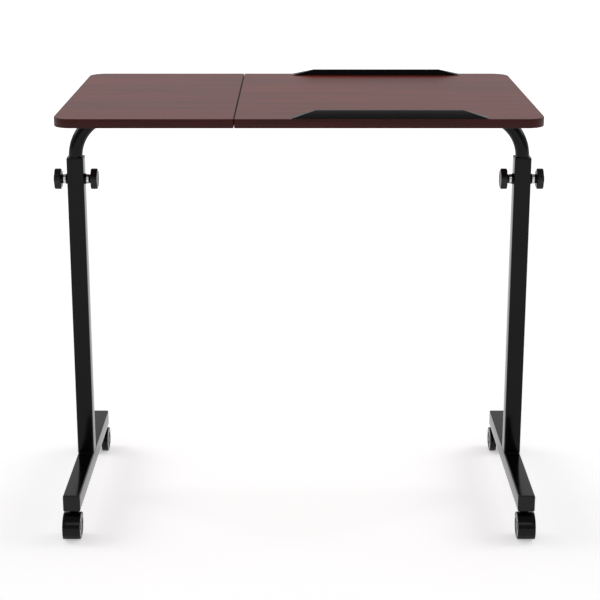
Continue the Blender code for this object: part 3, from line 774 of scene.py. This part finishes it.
def tilt_clamp(name, node):
    """A split collar in section: plate, neck with hollow fillets, ring, slit and two ears."""
    low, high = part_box(node)
    centre = middle(node)
    bore = TUBE_RADIUS + GAP
    collar = bore + 2.5 * MM
    top = high[2] - TUBE_AXIS_Z
    plate = 2.5 * MM
    reach = (high[1] - low[1]) / 2
    slit, ear = 1.5 * MM, 3.5 * MM
    bottom = low[2] - TUBE_AXIS_Z
    hollow = 2.6 * MM
    neck = arc((collar * 0.5 + hollow + 1.2 * MM, top - plate - hollow), hollow, 90, 200, 8)
    ear_side = slit + ear
    ear_angle = -math.degrees(math.acos(ear_side / collar))
    neck_angle = 50
    ring = arc((0, 0), collar, neck_angle, ear_angle, 40)
    ear_corners = [(ear_side, -collar - 2 * MM), (ear_side, bottom), (slit, bottom), (slit, -collar)]
    ear_tip = fillet(ear_corners, 1.2 * MM, 5)
    bore_angle = -math.degrees(math.acos(slit / bore))
    right = np.concatenate([[(reach, top), (reach, top - plate)], neck, ring, ear_tip])
    inside = arc((0, 0), bore, bore_angle, 180 - bore_angle, 72)
    left = right[::-1] * (-1, 1)
    outline = np.concatenate([right, inside, left])
    at = np.array([centre[0], 0, TUBE_AXIS_Z])
    half = (high[0] - low[0]) / 2
    piece = extruded(name, outline, 0, -half, half, at, PLASTIC, "tilt_top", replaced=(node,),
                     slot="black_plastic")
    bevel(piece, 0.4 * MM, 50)
    screw_x, screw_y = 7 * MM, 24 * MM  # from the middle of the plate
    for label, side in ENDS:
        for label_x, side_x in HANDS:
            place = (centre[0] + side_x * screw_x, side * screw_y, TUBE_AXIS_Z + top - plate)
            wood_screw(f"{name}_screw_{label}_{label_x}", place, "tilt_top")


def pinch_bolt(name, node):
    """Hexagon bolt and nut: the radius is w / cos(a'), a' being the angle off the nearest flat."""
    low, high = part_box(node)
    centre = middle(node)
    a = np.radians(np.linspace(0, 360, 73)[:-1])
    unit = np.stack([np.cos(a), np.sin(a)], 1)
    off_flat = (a + math.pi / 6) % (math.pi / 3) - math.pi / 6
    flat = 3.0 * MM
    hexagon = unit * (flat / np.cos(off_flat))[:, None]
    hexagon = unit * np.minimum(np.linalg.norm(hexagon, axis=1), 3.42 * MM)[:, None]
    half = (high[1] - low[1]) / 2
    head, chamfer = 3 * MM, 0.5 * MM
    face, shank = unit * 2.8 * MM, unit * 2 * MM
    levels = [
        (-half, face), (-half + chamfer, hexagon), (-half + head, hexagon), (-half + head, shank),
        (half - head, shank), (half - head, hexagon), (half - chamfer, hexagon), (half, face),
    ]
    rings = [set_in(outline, 1, at, centre) for at, outline in levels]
    skin(name, rings, ZINC, "tilt_top", replaced=(node,), slot="zinc_plate")


# ---------------------------------------------------------------- the table

def build_table():
    """Every piece of the table, from the tabletop down."""
    board("fixed_board", -1, LAMINATE_FIXED, "upper_frame")
    board("tilting_board", 1, LAMINATE_TILTING, "tilt_top")
    ledge("front_ledge", -1)
    ledge("rear_ledge", 1)
    u_tube()
    saddle("saddle_strap_outer", "saddle_clamp_outer")
    saddle("saddle_strap_inner", "saddle_clamp_inner")
    for hand, _ in HANDS:
        tilt_clamp("tilt_collar_" + hand, "tilt_clamp_" + hand)
        pinch_bolt("pinch_bolt_" + hand, "tilt_clamp_screw_" + hand)
    for hand, side in HANDS:
        leg = hand + "_leg"
        square_tube(hand + "_post_coated", hand + "_post", 2, leg)
        square_tube(hand + "_foot_coated", hand + "_foot", 1, leg)
        bush(hand + "_bush_moulding", hand + "_bush", leg)
        foot_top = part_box(hand + "_foot")[1][2]
        x = side * abs(LEG_X)
        for end, way in ENDS:
            end_cap(f"{hand}_foot_cap_{end}_moulding", f"{hand}_foot_cap_{end}", way, leg)
            bead_y = way * (SECTION / 2 + 0.2 * MM)
            half_bead = SECTION / 2 - 1.5 * MM
            bead_start, bead_end = ((x + way_x * half_bead, bead_y, foot_top) for way_x in (-1, 1))
            weld_bead(f"{hand}_post_weld_{end}", bead_start, bead_end, 1.5 * MM, leg)
            caster = f"{hand}_{end}_caster"
            axle = middle(caster + "_axle")
            stem_y = middle(caster + "_stem")[1]
            wheel_radius = extent(caster + "_wheel_left")[2] / 2
            hood(caster + "_fender", caster + "_hood", caster, axle, stem_y, wheel_radius)
            for wheel_hand, facing in HANDS:
                node = f"{caster}_wheel_{wheel_hand}"
                wheel(node + "_nylon", node, facing, node)
            for metal in ("_stem", "_axle"):
                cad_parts[caster + metal].material_slots[0].material = ZINC
        for where, facing in (("outer", side), ("inner", -side)):
            knob = f"{hand}_{where}_knob"
            knob_boss(knob + "_boss_coated", knob + "_boss", facing, leg)
            knob_screw(knob + "_screw_plated", knob + "_screw", facing, knob + "_screw")
            star_grip(knob + "_grip_moulding", knob + "_grip", facing, knob + "_grip")


# ---------------------------------------------------------------- floor, light and camera

def studio_floor():
    """A pale floor: matt white, and glowing a little, more so far away, so that it stays white."""
    size = 12.0
    mesh = bpy.data.meshes.new("studio_floor")
    corners = [(-size, -size, 0), (size, -size, 0), (size, size, 0), (-size, size, 0)]
    mesh.from_pydata(corners, [], [(0, 1, 2, 3)])
    material, tree, shader, where = new_material("matt_white_floor")
    shader.inputs["Base Color"].default_value = linear("#f4f4f4")
    shader.inputs["Roughness"].default_value = 0.9
    shader.inputs["Specular IOR Level"].default_value = 0.0
    shader.inputs["Emission Color"].default_value = linear("#ffffff")
    distance = add_node(tree, "ShaderNodeVectorMath", {0: where}, operation="LENGTH").outputs["Value"]
    near_to_far = {"Value": distance, "From Min": 0.9, "From Max": 4.5}
    far = add_node(
        tree, "ShaderNodeMapRange", near_to_far, interpolation_type="SMOOTHSTEP"
    ).outputs["Result"]
    tree.links.new(spread(tree, far, 0.445, 0.76), shader.inputs["Emission Strength"])
    mesh.materials.append(material)
    floor = bpy.data.objects.new("studio_floor", mesh)
    bpy.context.scene.collection.objects.link(floor)


def studio_world():
    """The room: plain white to look at, and a graded light on the object.

    The light is brightest at a height of 0.4 and dimmer overhead and from in front.
    """
    world = bpy.data.worlds.new("studio")
    bpy.context.scene.world = world
    world.use_nodes = True
    tree = world.node_tree
    background = tree.nodes["Background"]
    direction = add_node(tree, "ShaderNodeTexCoord").outputs["Generated"]
    parts = add_node(tree, "ShaderNodeSeparateXYZ", {"Vector": direction}).outputs
    wall = ramp(tree, parts["Z"], [(0.0, "#c8c8c8"), (0.40, "#ececec"), (1.0, "#929292")])
    front_to_back = {
        "Value": parts["Y"], "From Min": -0.7, "From Max": 0.4, "To Min": 0.40, "To Max": 1.0,
    }
    front = add_node(tree, "ShaderNodeMapRange", front_to_back).outputs["Result"]
    lit = add_node(tree, "ShaderNodeVectorMath", {0: wall, 1: front}, operation="MULTIPLY")
    seen = add_node(tree, "ShaderNodeLightPath").outputs["Is Camera Ray"]
    colour = add_node(tree, "ShaderNodeMix", {"Factor": seen}, data_type="RGBA")
    tree.links.new(lit.outputs["Vector"], colour.inputs["A"])
    colour.inputs["B"].default_value = linear("#ffffff")
    tree.links.new(colour.outputs["Result"], background.inputs["Color"])


def soft_light(name, place, target, size, power):
    """A rectangular lamp aimed at a point, in watts. The lamp itself is not seen."""
    lamp = bpy.data.lights.new(name, "AREA")
    lamp.shape = "RECTANGLE"
    lamp.size, lamp.size_y = size
    lamp.energy = power
    obj = bpy.data.objects.new(name, lamp)
    bpy.context.scene.collection.objects.link(obj)
    obj.location = place
    way = np.array(target, float) - np.array(place, float)
    obj.rotation_euler = direction_angles(way)
    obj.visible_camera = False


def direction_angles(way):
    """Angles that turn an object's -Z towards a direction, with its own X kept level."""
    level = math.hypot(way[0], way[1])
    return (math.atan2(level, -way[2]), 0.0, math.atan2(-way[0], way[1]))


def camera():
    """Long lens, in front and above, aimed a little down, with a small shift of the lens."""
    data = bpy.data.cameras.new("camera")
    data.sensor_width = 36.0
    data.lens = 91.01
    data.shift_y = -0.09
    data.shift_x = 0.0017
    data.clip_end = 60.0
    obj = bpy.data.objects.new("camera", data)
    bpy.context.scene.collection.objects.link(obj)
    obj.location = (0.0, -2.6667, 1.1930)
    pitch_down = math.radians(14.934)
    obj.rotation_euler = (math.pi / 2 - pitch_down, 0.0, 0.0)
    bpy.context.scene.camera = obj


camera()
build_table()
studio_floor()
studio_world()
soft_light("front_softbox", (0.0, -3.0, 2.4), (0, 0, 0.3), (2.4, 1.1), 13)
soft_light("left_softbox", (-2.8, 0.6, 2.2), (0, 0, 0.4), (1.4, 1.8), 22)
soft_light("right_softbox", (2.8, 0.6, 2.2), (0, 0, 0.4), (1.4, 1.8), 22)
bpy.context.scene.view_settings.view_transform = "Standard"
